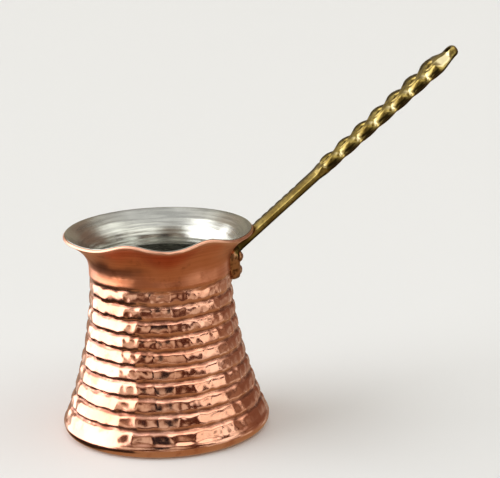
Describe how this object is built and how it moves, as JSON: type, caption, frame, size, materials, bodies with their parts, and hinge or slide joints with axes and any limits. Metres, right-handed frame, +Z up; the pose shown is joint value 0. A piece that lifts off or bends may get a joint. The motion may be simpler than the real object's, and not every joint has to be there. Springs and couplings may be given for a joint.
{
  "type": "turkish coffee pot",
  "caption": "Hammered copper coffee pot with a tinned inside, a flared rim with a pouring lip at the side, and a long riveted cast-brass handle.",
  "frame": {"origin": "centre of the flat base's underside", "axes": "+Z up, +X along the handle, -Y out through the pouring lip"},
  "size_m": [0.1766, 0.0884, 0.1569],
  "materials": {
    "copper": "hammered copper, polished, lightly toned in the grooves",
    "tin": "wiped tin, satin",
    "cast_brass": "cast, polished on the high points, dark in the recesses",
    "rivet_brass": "hammered heads, darkened"
  },
  "bodies": {
    "root": {"pot_body": "copper", "tin_lining": "tin", "handle": "cast_brass", "rivet_low": "rivet_brass", "rivet_near": "rivet_brass", "rivet_far": "rivet_brass"}
  },
  "joints": []
}
